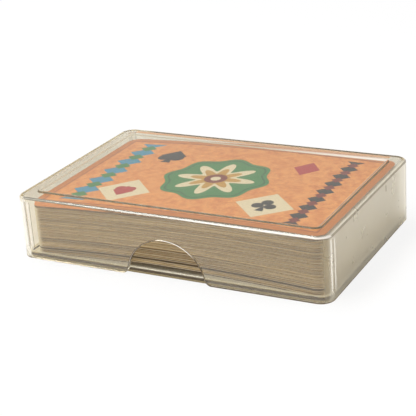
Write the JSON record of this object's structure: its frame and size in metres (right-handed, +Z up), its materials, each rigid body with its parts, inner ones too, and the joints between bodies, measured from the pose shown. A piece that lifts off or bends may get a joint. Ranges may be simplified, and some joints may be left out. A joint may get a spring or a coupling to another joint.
{
  "type": "playing-card case with deck",
  "caption": "Clear plastic card case with a deep lift-off lid, thumb notches and a shallow tray, holding a deck, a rules card and a title card.",
  "frame": {"origin": "centre of the tray's underside, on the surface the closed case stands on", "axes": "+X along the case towards the end the deck lies nearer to, -Y the front long side, +Z up through the lid's top"},
  "size_m": [0.095, 0.0628, 0.0193],
  "materials": {
    "lid_plastic": "clear polished polystyrene, slightly yellowed, fine scratches",
    "tray_plastic": "clear polished polystyrene, slightly yellowed",
    "card_stock": "aged card stock, cut edges grey-tan",
    "rules_paper": "plain uncoated card",
    "title_print": "orange printed card, satin"
  },
  "bodies": {
    "tray": {"tray": "tray_plastic"},
    "lower_packet": {"card_01": "card_stock", "card_02": "card_stock", "card_03": "card_stock", "card_04": "card_stock", "card_05": "card_stock"},
    "upper_packet": {"card_06": "card_stock", "card_07": "card_stock", "card_08": "card_stock", "card_09": "card_stock", "card_10": "card_stock", "card_11": "card_stock", "card_12": "card_stock", "card_13": "card_stock", "card_14": "card_stock", "card_15": "card_stock", "card_16": "card_stock", "card_17": "card_stock", "card_18": "card_stock", "card_19": "card_stock", "card_20": "card_stock", "card_21": "card_stock", "card_22": "card_stock", "card_23": "card_stock", "card_24": "card_stock", "card_25": "card_stock", "card_26": "card_stock", "card_27": "card_stock", "card_28": "card_stock", "card_29": "card_stock", "card_30": "card_stock", "card_31": "card_stock", "card_32": "card_stock", "card_33": "card_stock", "card_34": "card_stock", "card_35": "card_stock", "card_36": "card_stock", "card_37": "card_stock", "card_38": "card_stock", "card_39": "card_stock", "card_40": "card_stock", "card_41": "card_stock", "card_42": "card_stock", "card_43": "card_stock", "card_44": "card_stock", "card_45": "card_stock"},
    "rules_card": {"rules_card": "rules_paper"},
    "title_card": {"title_card": "title_print"},
    "lid": {"lid": "lid_plastic"}
  },
  "joints": [
    {"name": "lower_packet_lift", "type": "slide", "parent": "tray", "child": "lower_packet", "axis": [0, 0, 1], "range_m": [0, 0.02]},
    {"name": "upper_packet_lift", "type": "slide", "parent": "lower_packet", "child": "upper_packet", "axis": [0, 0, 1], "range_m": [0, 0.02]},
    {"name": "rules_card_lift", "type": "slide", "parent": "upper_packet", "child": "rules_card", "axis": [0, 0, 1], "range_m": [0, 0.015]},
    {"name": "title_card_lift", "type": "slide", "parent": "rules_card", "child": "title_card", "axis": [0, 0, 1], "range_m": [0, 0.015]},
    {"name": "lid_lift", "type": "slide", "parent": "title_card", "child": "lid", "axis": [0, 0, 1], "range_m": [0, 0.03]}
  ]
}
